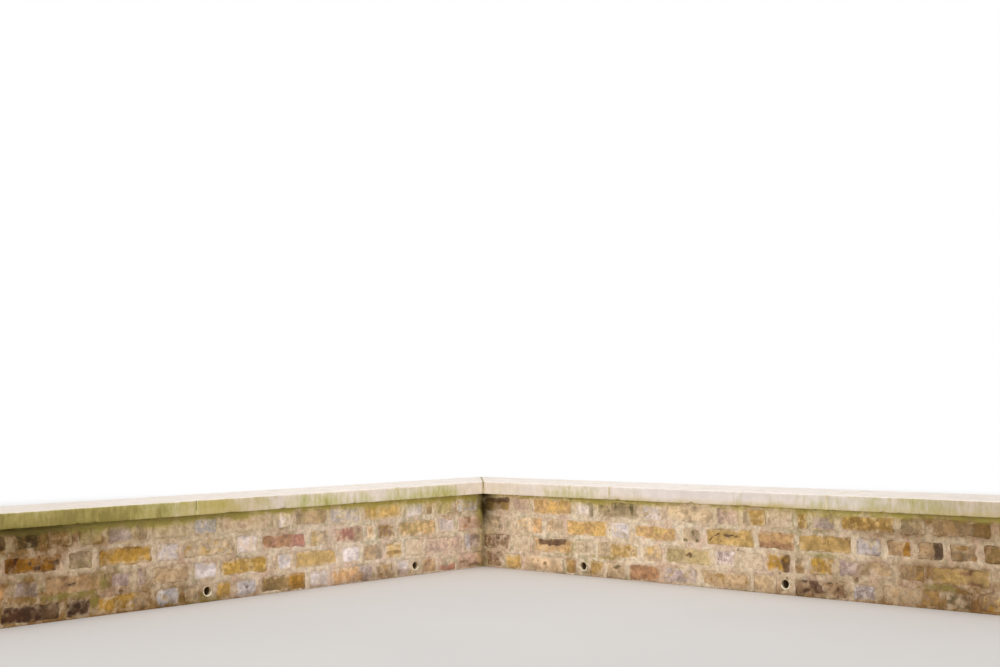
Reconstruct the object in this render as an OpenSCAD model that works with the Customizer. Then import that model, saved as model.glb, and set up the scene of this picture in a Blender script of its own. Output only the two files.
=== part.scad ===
// Low garden wall of stock brick that turns an inside corner, one brick thick.
// Four bonded courses on mortar beds carry a mitred stone coping, and weep
// pipes run through the bottom course. The origin is where the centre lines of
// the two wings cross, at ground level. The right wing runs along +X. The left
// wing is drawn the same way and mirrored across the mitre, so it runs along -Y.

/* [Brickwork] */
// Length of a brick, which is also the thickness of the wall
brick_l = 215; // [200:1:230]
// Height of a brick
brick_h = 65; // [55:1:75]
// Thickness of a mortar joint
joint = 10; // [7:0.5:13]
// Depth of the mortar behind the faces of the bricks
joint_recess = 2; // [1:0.25:4]
// Inside corner to the middle of the first header, even courses of the right wing
right_header_at = 227.5; // [170:2.5:300]
// Inside corner to the middle of the first header, even courses of the left wing
left_header_at = 377.5; // [320:2.5:450]

/* [Coping] */
// Thickness of a coping stone
coping_h = 50; // [40:1:75]
// Overhang of the coping beyond each face of the wall
overhang = 42.5; // [32:0.5:60]
// Length of a whole coping stone
stone_l = 915; // [750:5:1100]
// Front length of the mitred corner stone on the right wing
right_corner_l = 650; // [500:2.5:900]
// Front length of the mitred corner stone on the left wing
left_corner_l = 467.5; // [350:2.5:700]
// Joint between two coping stones
coping_joint = 6; // [4:0.5:12]
// Radius of the worn upper edges
arris_r = 4; // [2:0.5:8]
// Width of the drip groove under each overhang
drip_w = 10; // [6:0.5:12]
// Edge of the stone to the middle of the drip groove
drip_inset = 20; // [14:0.5:24]

/* [Weep pipes] */
// Outside diameter of a weep pipe
pipe_d = 36; // [30:0.5:40]
// Wall of a weep pipe
pipe_wall = 3; // [2:0.25:5]
// Clearance between a pipe and the mortar round it
pipe_fit = 0.15; // [0.1:0.05:0.5]
// Height of a pipe's middle above the middle of the bottom course
weep_rise = 4; // [0:0.5:6]
// Width of the mortar that a pipe is bedded in
surround_w = 65; // [56:1:90]
// Inside corner to the first pipe of the right wing
right_weep_1 = 530; // [400:5:700]
// Inside corner to the second pipe of the right wing
right_weep_2 = 1425; // [1100:5:1800]
// Inside corner to the first pipe of the left wing
left_weep_1 = 385; // [300:5:600]
// Inside corner to the second pipe of the left wing
left_weep_2 = 1360; // [1100:5:1800]

/* [Hidden] */
SIDES = ["right", "left"];
COURSES = 4;
WHOLE_STONES = 2;
WEEPS = 2;

wall_t = brick_l;
half_t = wall_t / 2;
header_w = (brick_l - joint) / 2;
gauge = brick_h + joint;
wall_h = COURSES * gauge;
bond_pitch = brick_l + header_w + 2 * joint;
smallest_bat = 40;

coping_w = wall_t + 2 * overhang;
half_coping = coping_w / 2;
stone_pitch = stone_l + coping_joint;

weep_z = brick_h / 2 + weep_rise;
bore_r = pipe_d / 2 + pipe_fit;
// What a cutting shape reaches past the surface that it cuts
past = 5;
$fn = 48;

brick_colour = [0.74, 0.56, 0.35];
mortar_colour = [0.80, 0.73, 0.61];
stone_colour = [0.88, 0.84, 0.75];
pipe_colour = [0.87, 0.80, 0.66];

// Positions along a wing are measured from the crossing of the centre lines
function corner_l(side) = side == "right" ? right_corner_l : left_corner_l;
function corner_end(side) = half_coping + corner_l(side);
function wing_end(side) = corner_end(side) + WHOLE_STONES * stone_pitch;
function weep_at(side, n) = half_t + (side == "right"
    ? [right_weep_1, right_weep_2][n - 1]
    : [left_weep_1, left_weep_2][n - 1]);
function weeps_at(side) = [for (n = [1:WEEPS]) weep_at(side, n)];

// Even courses of the right wing and odd courses of the left wing run through
// to the outer corner, and the other wing's course butts against them
function runs_through(side, n) = (side == "right") == (n % 2 == 0);
function course_start(side, n) = runs_through(side, n) ? -half_t : half_t;

// Upright joints of a course in Flemish bond: one on each side of every header,
// where what is left of a brick at an end or at a weep is at least a small bat
function first_header(side, n) =
    half_t + (side == "right" ? right_header_at : left_header_at)
    + (n % 2 == 0 ? 0 : bond_pitch / 2);
function clear_of_weeps(side, n, s) = n > 1
    || min([for (w = weeps_at(side)) abs(s - w)]) > surround_w / 2 + smallest_bat;
function uprights(side, n, from) = [
    for (
        k = [floor((from - first_header(side, n)) / bond_pitch)
            : ceil((wing_end(side) - first_header(side, n)) / bond_pitch)],
        edge = [-1, 1]
    )
    let (s = first_header(side, n) + k * bond_pitch + edge * (header_w + joint) / 2)
    if (s > from + smallest_bat && s < wing_end(side) - smallest_bat
        && clear_of_weeps(side, n, s))
    s
];

// Draws its children on a wing: as they are, or mirrored across the mitre
module on_wing(side) {
    if (side == "left")
        mirror([1, 1, 0]) children();
    else
        children();
}

// A block of walling from one place along a wing to another, set back from both faces
module walling(from, to, z, height, set_back = 0) {
    translate([from, -half_t + set_back, z])
        cube([to - from, wall_t - 2 * set_back, height]);
}

// The recess of one upright joint, in the front face or the rear one
module upright_joint(s, face, z) {
    translate([s - joint / 2, face * half_t - (face > 0 ? joint_recess : past), z - past])
        cube([joint, joint_recess + past, brick_h + 2 * past]);
}

// One course of bricks with its upright joints, cut for the weep pipes at the bottom
module course(side, n) {
    z = (n - 1) * gauge;
    start = course_start(side, n);
    color(brick_colour)
        on_wing(side) difference() {
            walling(start, wing_end(side), z, brick_h);
            for (s = uprights(side, n, half_t))
                upright_joint(s, -1, z);
            for (s = uprights(side, n, start))
                upright_joint(s, 1, z);
            if (n == 1)
                for (w = weeps_at(side))
                    translate([w - surround_w / 2, -half_t - past, -past])
                        cube([surround_w, wall_t + 2 * past, brick_h + 2 * past]);
        }
}

// The mortar bed on top of a course; the right wing's beds run through the corner
module bed(side, n) {
    start = side == "right" ? -half_t + joint_recess : half_t - joint_recess;
    color(mortar_colour)
        on_wing(side) walling(
            start, wing_end(side) - joint_recess, n * gauge - joint, joint, joint_recess
        );
}

// Section of the coping across the wall, with worn upper edges and two drip
// grooves; set_back is how far mortar lies behind the faces of the stones
module coping_section(set_back = 0) {
    width = coping_w - 2 * set_back;
    height = coping_h - set_back;
    difference() {
        union() {
            translate([-width / 2, 0]) square([width, height - arris_r]);
            translate([-width / 2 + arris_r, 0]) square([width - 2 * arris_r, height]);
            for (edge = [-1, 1])
                translate([edge * (width / 2 - arris_r), height - arris_r])
                    circle(arris_r);
        }
        for (edge = [-1, 1])
            translate([edge * (half_coping - drip_inset), 0]) circle(d = drip_w);
    }
}

// A length of coping on a wing, on top of the last bed
module coping_run(from, to, set_back = 0) {
    translate([from, 0, wall_h])
        rotate([90, 0, 90])
            linear_extrude(to - from) coping_section(set_back);
}

// What lies on a wing's side of the mitre, between two distances from its plane
module beside_mitre(near, far) {
    reach = far + 2 * coping_w;
    rotate([0, 0, 45])
        translate([near, -reach, wall_h - past])
            cube([far - near, 2 * reach, coping_h + 2 * past]);
}

module corner_coping(side) {
    color(stone_colour)
        on_wing(side) intersection() {
            coping_run(-half_coping, corner_end(side));
            beside_mitre(coping_joint / 2, corner_end(side) + coping_w);
        }
}

module coping(side, n) {
    start = corner_end(side) + n * stone_pitch - stone_l;
    color(stone_colour)
        on_wing(side) coping_run(start, start + stone_l);
}

module coping_joints(side) {
    color(mortar_colour)
        on_wing(side)
            for (n = [0:WHOLE_STONES - 1]) {
                start = corner_end(side) + n * stone_pitch;
                coping_run(start, start + coping_joint, joint_recess);
            }
}

module mitre_joint() {
    color(mortar_colour)
        for (side = SIDES)
            on_wing(side) intersection() {
                coping_run(-half_coping, half_coping + coping_joint, joint_recess);
                beside_mitre(0, coping_joint / 2);
            }
}

// A round bar through the wall at a weep
module through_bar(s, radius, from, to) {
    translate([s, to, weep_z]) rotate([90, 0, 0]) cylinder(h = to - from, r = radius);
}

// Mortar that fills the gap between two bricks round a pipe
module weep_surround(side, n) {
    s = weep_at(side, n);
    color(mortar_colour)
        on_wing(side) difference() {
            walling(s - surround_w / 2, s + surround_w / 2, 0, brick_h, joint_recess);
            through_bar(s, bore_r, -half_t - past, half_t + past);
        }
}

// Pipe cut off flush with both faces of the wall
module weep_pipe(side, n) {
    s = weep_at(side, n);
    color(pipe_colour)
        on_wing(side) difference() {
            through_bar(s, pipe_d / 2, -half_t, half_t);
            through_bar(s, pipe_d / 2 - pipe_wall, -half_t - past, half_t + past);
        }
}

for (side = SIDES, n = [1:COURSES]) {
    course(side, n);
    bed(side, n);
}
for (side = SIDES) {
    corner_coping(side);
    coping_joints(side);
}
for (side = SIDES, n = [1:WHOLE_STONES]) {
    coping(side, n);
}
mitre_joint();
for (side = SIDES, n = [1:WEEPS]) {
    weep_surround(side, n);
    weep_pipe(side, n);
}
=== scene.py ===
"""Low garden wall of stock brick that turns an inside corner: its looks and its stage.

Lengths are in metres. A wing has its own axes: s along it from the crossing of the
centre lines, a across it with the front face on the negative side, and z up. The
right wing lies along +X and the left wing is its mirror image along -Y.
"""

import math
import random

import bpy
import numpy as np
from bpy.props import FloatProperty, FloatVectorProperty, IntProperty, PointerProperty
from bpy.types import Operator, Panel, PropertyGroup
from mathutils import Matrix, Vector


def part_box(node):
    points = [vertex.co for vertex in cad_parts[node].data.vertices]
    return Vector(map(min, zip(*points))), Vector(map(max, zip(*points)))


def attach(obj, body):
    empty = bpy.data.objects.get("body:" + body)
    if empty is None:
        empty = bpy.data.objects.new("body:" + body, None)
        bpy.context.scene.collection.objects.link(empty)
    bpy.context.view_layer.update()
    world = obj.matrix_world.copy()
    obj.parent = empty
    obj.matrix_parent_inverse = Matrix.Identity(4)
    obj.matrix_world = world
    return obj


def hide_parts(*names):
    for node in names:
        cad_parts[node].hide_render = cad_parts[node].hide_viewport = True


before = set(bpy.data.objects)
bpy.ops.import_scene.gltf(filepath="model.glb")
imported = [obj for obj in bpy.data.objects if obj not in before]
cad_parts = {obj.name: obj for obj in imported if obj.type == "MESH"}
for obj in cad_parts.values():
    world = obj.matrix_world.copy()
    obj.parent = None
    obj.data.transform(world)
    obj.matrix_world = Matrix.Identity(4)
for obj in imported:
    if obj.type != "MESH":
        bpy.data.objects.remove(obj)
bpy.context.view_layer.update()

bl_info = {
    "name": "Brick garden wall",
    "version": (1, 0, 0),
    "blender": (4, 5, 0),
    "location": "3D View > Sidebar > Garden wall",
    "description": "Lays the bricks, mortar, coping and weep pipes of a low garden wall",
    "category": "Object",
}

SIDES = ("right", "left")
COURSES = (1, 2, 3, 4)


def along(side, node):
    """Where a node starts and ends along its wing."""
    low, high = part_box(node)
    return (low.x, high.x) if side == "right" else (-high.y, -low.y)


HALF_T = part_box("right_course_2")[1].y
BRICK_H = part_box("right_course_1")[1].z
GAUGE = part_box("right_course_2")[0].z
WALL_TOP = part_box("right_bed_4")[1].z
COPING_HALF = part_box("right_coping_1")[1].y
COPING_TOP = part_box("right_coping_1")[1].z
WING_END = {side: along(side, f"{side}_course_1")[1] for side in SIDES}
WEEPS = {
    side: [sum(along(side, f"{side}_weep_pipe_{n}")) / 2 for n in (1, 2)] for side in SIDES
}
WEEP_Z = sum(corner.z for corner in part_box("right_weep_pipe_1")) / 2
PIPE_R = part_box("right_weep_pipe_1")[1].z - WEEP_Z
SURROUND = np.ptp(along("right", "right_weep_surround_1"))
STONE_NAMES = ("corner_coping", "coping_1", "coping_2")
STONES = {side: [along(side, f"{side}_{name}") for name in STONE_NAMES] for side in SIDES}
COPING_JOINT = STONES["right"][1][0] - STONES["right"][0][1]

# Length in sight of a stretcher, a three-quarter, a header, a bat and a closer. The first two
# lie lengthwise in the wall, so that each has another brick behind it.
BRICK_L = {"S": 0.205, "Q": 0.150, "H": 0.095, "B": 0.068, "C": 0.045}
LENGTHWISE = "SQ"
# The bricks of each course along the front, from the inside corner out. A space is a weep.
ROWS = {
    ("right", 4): "QHSHSHSHHHCHSHSHHQ",
    ("right", 3): "HCQHSHSHSQSHHHHSHH",
    ("right", 2): "QHSHSHSHHHCHSHSHHQ",
    ("right", 1): "HHSB BHQQSH SHSHSHH",
    ("left", 4): "QHCHSQQHSHQCHHHHSC",
    ("left", 3): "QHSHCQHSHSHSHSHQ",
    ("left", 2): "HSHHHHSHSHQCHSHSC",
    ("left", 1): "QHB BHSHSHB BHSHSHQ",
}
# Width of the upright joints between them, and how far a joint strays from its place
UPRIGHT = 0.013
ASTRAY = 0.0025
# Width of a brick that lies along the wall, and how far one is tucked in behind the corner
BRICK_DEEP = 0.1025
TUCKED = 0.055
# The brick behind brick n has the number n + BEHIND. The two that end a course at the outer
# corner have QUOIN and the number after it.
BEHIND = 50
QUOIN = 90

# The colours of the bricks in front, by their place in the row: the main colour, then a second
# one and where it lies. A colour by itself takes the second one that SECOND gives, in blotches.
# These were matched to the photo brick by brick, for 131 of the 139.
FRONT_COLOURS = {
    ("right", 4): {
        0: "ochre maroon top", 1: "pink", 2: "orange yellow flecked", 3: "white grey far",
        4: "grey dark flecked", 5: "white buff flecked", 6: "cream buff flecked", 7: "pink",
        8: "yellow buff near", 10: "ochre yellow flecked", 11: "lavender straw flecked",
        12: "ochre yellow flecked", 13: "grey tan flecked", 14: "tan olive far",
        15: "brown ochre flecked", 16: "lavender grey flecked", 17: "buff orange far",
    },
    ("right", 3): {
        0: "grey", 1: "cream", 2: "cream orange far", 3: "buff tan flecked",
        4: "yellow orange flecked", 5: "white cream flecked", 6: "orange yellow flecked",
        7: "buff dark flecked", 8: "yellow maroon cracked", 9: "orange rust low", 10: "yellow",
        11: "white cream flecked", 12: "tan amber far", 13: "tan maroon far",
        14: "tan ochre flecked", 15: "olive rust far", 16: "white buff flecked",
        17: "orange yellow flecked",
    },
    ("right", 2): {
        0: "brown pink flecked", 2: "orange maroon broken", 4: "yellow buff near",
        5: "buff yellow flecked", 6: "straw maroon spot", 7: "lavender white flecked",
        9: "gold maroon far", 10: "tan olive low", 11: "ochre gold flecked",
        12: "tan lavender near", 13: "tan ochre far", 14: "yellow rust flecked",
        15: "cream", 16: "yellow maroon cracked", 17: "pink tan flecked",
    },
    ("right", 1): {
        0: "brown pink flecked", 1: "yellow", 2: "buff dark spot", 3: "ochre rust flecked",
        4: "ochre", 5: "buff dark cracked", 6: "rust", 7: "lavender grey flecked",
        8: "tan ochre flecked", 9: "tan", 10: "brown maroon flecked",
        11: "lavender white flecked", 12: "buff ochre far", 13: "brown dark flecked",
        14: "tan gold flecked", 15: "lavender", 16: "rust maroon near",
    },
    ("left", 4): {
        0: "white cream flecked", 1: "straw", 2: "tan", 3: "white", 4: "yellow",
        5: "white cream flecked", 6: "tan grey far", 7: "cream white flecked", 9: "white",
        11: "buff", 12: "lavender", 13: "straw olive flecked", 14: "olive",
        15: "dark grey flecked", 16: "brown",
    },
    ("left", 3): {
        0: "pink rust flecked", 1: "white", 2: "yellow orange flecked", 3: "ochre brown flecked",
        4: "orange cream flecked", 5: "red tan near", 6: "buff yellow far", 7: "rust red near",
        8: "white", 9: "buff yellow flecked", 10: "white cream flecked", 11: "gold",
        12: "buff straw flecked", 13: "amber maroon flecked", 14: "cream buff flecked",
        15: "yellow ochre flecked",
    },
    ("left", 2): {
        0: "lavender white far", 1: "pink", 3: "yellow ochre flecked", 4: "tan grey near",
        5: "white", 6: "yellow", 7: "white buff far", 8: "gold yellow flecked", 9: "white",
        10: "tan", 11: "lavender grey flecked", 12: "lavender olive far", 13: "tan maroon spot",
        14: "lavender", 15: "orange rust far", 16: "tan grey flecked",
    },
    ("left", 1): {
        0: "pink brown flecked", 1: "cream red low", 2: "tan rust flecked",
        3: "white lavender low", 4: "tan ochre flecked", 5: "orange lavender near",
        6: "white", 7: "olive amber near", 8: "white maroon spot", 9: "gold",
        10: "tan grey flecked", 11: "white cream flecked", 12: "gold tan near",
        13: "maroon maroon flecked", 14: "maroon brown near", 15: "gold yellow flecked",
        16: "pink brown flecked",
    },
}
# The other bricks draw lots for their colour, with these weights, and at the rear more come up
COMMON = {"buff": 6, "tan": 4, "pink": 5, "grey": 1}
REAR = COMMON | {"yellow": 3, "ochre": 3, "orange": 2, "rust": 2, "brown": 1, "white": 1}
# The second colour that goes with each main one
SECOND = {
    "yellow": "ochre", "ochre": "rust", "gold": "ochre", "orange": "rust", "rust": "maroon",
    "amber": "brown", "red": "maroon", "maroon": "brown", "pink": "tan", "lavender": "grey",
    "white": "buff", "straw": "tan", "cream": "buff", "tan": "ochre", "buff": "tan",
    "grey": "tan", "olive": "brown", "brown": "maroon", "dark": "olive",
}
# How deep the second colour lies in the face of a brick, by where it is, and how deep a pit is
SUNK = {"broken": 0.0032, "cracked": 0.002, "spot": 0.0012, "flecked": 0.0006}
PIT_DEPTH = 0.0016
# What a brick stays back from the wing's end and from the ground
SET_IN = 0.0002
# How far the mortar closes over the cut end of a pipe
PIPE_LAP = 0.0015
# How far the left wing's mortar runs into the right wing's
RUN_IN = 0.02
# How many cells the mortar's mesh has through the wall
MORTAR_DEPTH_CELLS = 45
# What lies closer to a face than this counts as on it
TINY = 1e-6

# How heavily growth hangs from the top of the wall: distance from the inside corner, amount
WALL_GROWTH = {
    "right": ((0.0, 0.15), (0.4, 0.15), (0.5, 0.72), (0.8, 0.72), (0.95, 0.30), (1.5, 0.32),
              (1.75, 0.55), (2.1, 0.88)),
    "left": ((0.0, 1.00), (0.15, 0.95), (0.35, 0.75), (0.7, 0.60), (0.9, 0.65), (1.2, 0.90),
             (1.7, 1.00), (2.1, 1.15)),
}
# Strength of the green band right under the coping
GREEN_BAND = {"right": 0.42, "left": 0.62}
# How much dirt darkens the wall far from the corner, in the same way as growth
WALL_SOIL = {
    "right": ((0.8, 0.0), (1.2, 0.12), (1.4, 0.26), (1.7, 0.48), (2.1, 0.84)),
    "left": ((0.6, 0.0), (1.0, 0.18), (1.4, 0.38), (1.75, 0.60), (2.0, 0.80), (2.2, 0.92)),
}
# Height and strength of the dirt that rain has splashed up at the foot
FOOT = {"right": (0.045, 0.42), "left": (0.058, 0.50)}
# How well the worn edges of the bricks hold dirt
EDGE_GRIP = {"right": 0.96, "left": 1.10}
# Where moss has taken hold on the front: distance from the inside corner, height, half its
# length, half its height, amount
MOSS = {
    "right": ((0.66, 0.078, 0.080, 0.012, 0.85), (0.47, 0.100, 0.050, 0.035, 0.40),
              (1.56, 0.142, 0.060, 0.009, 0.55), (1.56, 0.084, 0.050, 0.010, 0.45),
              (1.98, 0.068, 0.065, 0.016, 1.00), (2.04, 0.050, 0.014, 0.030, 0.90)),
    "left": ((0.14, 0.240, 0.120, 0.050, 0.25), (0.44, 0.014, 0.050, 0.014, 0.50),
             (1.40, 0.012, 0.110, 0.018, 0.70), (1.765, 0.112, 0.045, 0.042, 0.65),
             (1.79, 0.046, 0.020, 0.036, 0.85), (1.88, 0.078, 0.130, 0.014, 0.75)),
}
# How far lime has bleached the wall towards pink and grey
WALL_BLOOM = {
    "right": ((0.0, 0.06), (2.1, 0.04)),
    "left": ((0.0, 0.16), (0.9, 0.18), (1.5, 0.10), (2.1, 0.03)),
}
# How heavily growth covers the front of the coping: distance from the inside corner, amount
COPING_GROWTH = {
    "right": ((0.0, 0.10), (0.35, 0.12), (0.5, 0.45), (0.62, 0.30), (0.75, 0.08),
              (1.2, 0.10), (1.6, 0.25), (1.9, 0.55), (2.3, 0.45), (2.6, 0.35)),
    "left": ((0.0, 0.10), (0.12, 0.15), (0.25, 0.64), (0.42, 0.56), (0.65, 0.29),
             (0.9, 0.60), (1.1, 0.36), (1.4, 0.48), (1.7, 0.93), (2.0, 0.85), (2.4, 0.80)),
}
# How far the stone of the coping has weathered pale, and how much dirt lies on it
COPING_BLEACH = {
    "right": ((0.2, 0.0), (0.8, 0.9), (1.2, 1.2), (1.7, 0.9), (2.1, 0.4)),
    "left": ((0.0, 0.0), (0.4, 0.3), (2.4, 0.3)),
}
COPING_SOIL = {
    "right": ((0.6, 0.0), (1.2, 0.10), (1.7, 0.22), (2.1, 0.52)),
    "left": ((0.6, 0.0), (1.0, 0.10), (1.2, 0.32), (1.45, 0.28), (1.8, 0.50), (2.4, 0.58)),
}
# Heights between which the front of the coping grows paler
BLEACHED_FROM = WALL_TOP + 0.008, WALL_TOP + 0.028
# How far the mortar has sunk and darkened in each joint between the coping stones
JOINT_SUNK = {"right": (0.35, 0.15), "left": (0.05, 0.90)}


# Settings


def linear(red, green, blue):
    """A colour from 0 to 255 as the linear numbers that Blender mixes."""
    shares = (value / 255 for value in (red, green, blue))
    return tuple(
        share / 12.92 if share <= 0.04045 else ((share + 0.055) / 1.055) ** 2.4
        for share in shares
    )


def colour_setting(name, description, red, green, blue):
    """A colour picker whose default is written as it looks, from 0 to 255."""
    return FloatVectorProperty(
        name=name, description=description, default=linear(red, green, blue),
        subtype="COLOR", size=3, min=0.0, max=1.0,
    )


def length_setting(name, description, default, least, most):
    """A length in metres, shown to a tenth of a millimetre."""
    return FloatProperty(
        name=name, description=description, default=default,
        min=least, max=most, unit="LENGTH", precision=4,
    )


class BrickSettings(PropertyGroup):
    """Sizes and colours of the bricks."""

    step: length_setting(
        "Mesh step", "Distance between the points on the front of a brick",
        0.0045, 0.002, 0.02,
    )
    rear_step: length_setting(
        "Rear mesh step", "The same on bricks that show at the rear only",
        0.008, 0.003, 0.03,
    )
    arris: length_setting("Arris radius", "Radius of the worn edges", 0.005, 0.001, 0.01)
    unevenness: length_setting("Unevenness", "How far a face swells and sinks", 0.0008, 0.0, 0.003)
    chips: length_setting("Chips", "Depth of the chips along the edges", 0.003, 0.0, 0.006)
    yellow: colour_setting("Yellow", "Stock brick yellow", 206, 171, 107)
    ochre: colour_setting("Ochre", "Brown yellow", 168, 133, 76)
    gold: colour_setting("Gold", "Deep yellow", 202, 157, 66)
    orange: colour_setting("Orange", "Orange yellow", 215, 172, 120)
    rust: colour_setting("Rust", "Orange brown", 174, 131, 94)
    amber: colour_setting("Amber", "Deep orange brown", 162, 114, 20)
    red: colour_setting("Red", "Pink red", 184, 124, 104)
    maroon: colour_setting("Maroon", "Overburnt red", 88, 60, 40)
    pink: colour_setting("Pink", "Pale pink", 207, 174, 152)
    lavender: colour_setting("Lavender", "Pale purple grey", 184, 162, 152)
    white: colour_setting("White", "Nearly white", 230, 216, 212)
    straw: colour_setting("Straw", "Pale greenish yellow", 204, 183, 134)
    cream: colour_setting("Cream", "Pale warm cream", 222, 199, 166)
    tan: colour_setting("Tan", "Pale brown", 188, 158, 120)
    buff: colour_setting("Buff", "Pale cream", 204, 177, 143)
    grey: colour_setting("Grey", "Warm grey", 166, 146, 116)
    olive: colour_setting("Olive", "Green brown", 152, 121, 72)
    brown: colour_setting("Brown", "Dark brown", 150, 121, 90)
    dark: colour_setting("Dark", "Burnt green brown", 108, 94, 60)
    iron: colour_setting("Iron", "Spots of iron in the clay", 96, 70, 48)
    # Painted shade in the pits and along the rubbed edges
    pit_shade: colour_setting("Pit", "Open pits and rubbed edges", 98, 74, 48)


class MortarSettings(PropertyGroup):
    """Size and colours of the mortar."""

    step: length_setting(
        "Mesh step", "Distance between the points on the faces",
        0.0048, 0.003, 0.02,
    )
    smear: length_setting(
        "Smear", "How far the mortar laps over the edges of the bricks",
        0.0030, 0.0, 0.015,
    )
    proud: length_setting(
        "Proud", "How far the mortar stands in front of the face of the wall",
        0.0008, -0.004, 0.002,
    )
    pale: colour_setting("Pale", "Lime-rich mortar", 226, 206, 178)
    sandy: colour_setting("Sandy", "Sandy mortar", 210, 185, 152)
    rosy: colour_setting("Rosy", "Patches with brick dust in them", 204, 166, 142)
    creamy: colour_setting("Creamy", "Patches that were rubbed clean", 234, 219, 194)
    grit: colour_setting("Grit", "Dark grains", 124, 96, 66)
    # Painted shade where the mortar ends on a brick
    seam: colour_setting("Seam", "Dirt where the mortar ends on a brick", 112, 88, 58)
    # Painted shade in the hollows where sand has washed out
    hole: colour_setting("Hole", "Where sand has washed out", 104, 84, 54)
    moss: colour_setting("Moss", "Small cushions of moss", 138, 130, 78)
    algae: colour_setting("Algae", "Thick growth under the coping and in the corner", 164, 152, 82)
    tinge: colour_setting("Tinge", "Thin growth, which the wall shows through", 234, 235, 146)
    # Wet growth, also used as painted shadow right under the coping
    damp_and_shadow: colour_setting("Damp", "Where the growth is wet and nearly black", 58, 44, 14)
    # Also darkens the inside corner as painted shade
    soil_and_shade: colour_setting("Soil", "Dirt, which the wall shows through", 152, 130, 94)
    bloom: colour_setting("Bloom", "Lime that has come out of the wall", 222, 204, 194)


class CopingSettings(PropertyGroup):
    """Sizes and colours of the coping."""

    step: length_setting(
        "Mesh step", "Distance between the rings along a stone",
        0.007, 0.003, 0.03,
    )
    arris: length_setting("Arris radius", "Radius of the worn upper edges", 0.004, 0.001, 0.01)
    groove: length_setting(
        "Drip groove", "Width of the groove under each overhang",
        0.010, 0.004, 0.016,
    )
    inset: length_setting(
        "Groove inset", "Edge of the stone to the middle of the groove",
        0.020, 0.010, 0.030,
    )
    stone: colour_setting("Stone", "Clean cream stone", 229, 213, 196)
    bleached: colour_setting("Bleached", "The same where it has weathered pale", 227, 216, 210)
    # Painted light on the top face
    washed: colour_setting("Washed", "The top, where rain keeps it clean", 240, 230, 221)
    green: colour_setting("Green", "Light growth on the face", 178, 175, 98)
    yellow: colour_setting("Yellow", "The same where there is much of it", 188, 178, 92)
    moss: colour_setting("Moss", "Heavy growth", 119, 107, 42)
    stain: colour_setting("Stain", "Low on the face, under light growth", 180, 158, 78)
    dirt: colour_setting("Dirt", "Dirt, which the stone shows through", 176, 156, 122)
    speck: colour_setting("Speck", "Dark grains in the stone", 128, 108, 80)
    joint: colour_setting("Joint", "Mortar between the stones", 222, 204, 178)
    sandy: colour_setting("Sandy joint", "Sandy patches of that mortar", 204, 188, 156)
    sunk: colour_setting("Sunk joint", "The same where it has sunk", 92, 80, 50)


class PipeSettings(PropertyGroup):
    """Size and colours of the weep pipes."""

    wall: length_setting("Wall", "Thickness of the wall of a pipe", 0.003, 0.001, 0.006)
    sides: IntProperty(name="Sides", description="Points round a pipe", default=56, min=16, max=96)
    plastic: colour_setting("Plastic", "Colour of the pipe", 250, 240, 212)
    scuffed: colour_setting("Scuffed", "Where the plastic is rubbed dull", 200, 176, 132)
    smeared: colour_setting("Smeared", "Mortar on the upper half", 178, 154, 118)
    shaded: colour_setting("Shaded", "Just inside the mouth", 160, 134, 94)
    # Grime with painted shade deep in the pipe
    grime_and_shade: colour_setting("Grime", "Dirt inside the pipe", 84, 62, 38)


class StageSettings(PropertyGroup):
    """Camera, light and floor."""

    eye: FloatVectorProperty(
        name="Camera", description="Where the camera stands",
        default=(4.1362, -4.3213, 0.6497), subtype="XYZ", unit="LENGTH",
    )
    heading: FloatProperty(
        name="Heading", description="Direction of the camera, turned from +X towards +Y",
        default=math.radians(132.958), subtype="ANGLE",
    )
    pitch: FloatProperty(
        name="Pitch", description="How far the camera looks up",
        default=math.radians(3.019), subtype="ANGLE",
    )
    roll: FloatProperty(
        name="Roll", description="Turn of the camera about its own axis",
        default=math.radians(-0.590), subtype="ANGLE",
    )
    lens: FloatProperty(
        name="Lens", description="Focal length in millimetres on a 36 mm sensor",
        default=50.695, min=10.0, max=200.0,
    )
    sky: FloatProperty(
        name="Sky", description="Strength of the light from all round", default=0.50, min=0.0
    )
    front_lamp: FloatProperty(
        name="Front lamp", description="Power of the large lamp in front of the corner",
        default=760.0, min=0.0, unit="POWER",
    )
    top_lamp: FloatProperty(
        name="Top lamp", description="Power of the large lamp over the wall",
        default=140.0, min=0.0, unit="POWER",
    )
    floor: colour_setting("Floor", "Colour of the plain floor", 208, 204, 201)
    floor_light: colour_setting("Light floor", "Lighter clouds on the floor", 218, 214, 210)


class WallSettings(PropertyGroup):
    """Everything that can be changed about the wall."""

    brick: PointerProperty(type=BrickSettings)
    mortar: PointerProperty(type=MortarSettings)
    coping: PointerProperty(type=CopingSettings)
    pipe: PointerProperty(type=PipeSettings)
    stage: PointerProperty(type=StageSettings)


# Noise and curves


def lumps(points, size, seed=0):
    """Smooth noise from -1 to 1, in lumps about size across."""
    cells = points / size + 7.31 * seed
    corner = np.floor(cells).astype(np.int64)
    rest = cells - corner
    rest = rest * rest * (3 - 2 * rest)
    total = np.zeros(len(points))
    for step in np.ndindex(2, 2, 2):
        at = corner + step
        mixed = (at[:, 0] * 73856093) ^ (at[:, 1] * 19349663) ^ (at[:, 2] * 83492791)
        mixed = (mixed ^ (seed * 2654435761)) & 0xFFFFFFFF
        mixed = ((mixed ^ (mixed >> 13)) * 1274126177) & 0xFFFFFFFF
        value = (mixed ^ (mixed >> 16)) & 0xFFFF
        total += value / 32767.5 * np.prod(np.where(step, rest, 1 - rest), axis=1)
    return total - 1


def rise(value, start, end):
    """0 before start, 1 after end and smooth between; start may be the greater."""
    share = np.clip((value - start) / (end - start), 0, 1)
    return share * share * (3 - 2 * share)


def level(profile, distance):
    """A number read off a profile of (distance, number) pairs."""
    return np.interp(distance, *zip(*profile))


# Meshes


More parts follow.
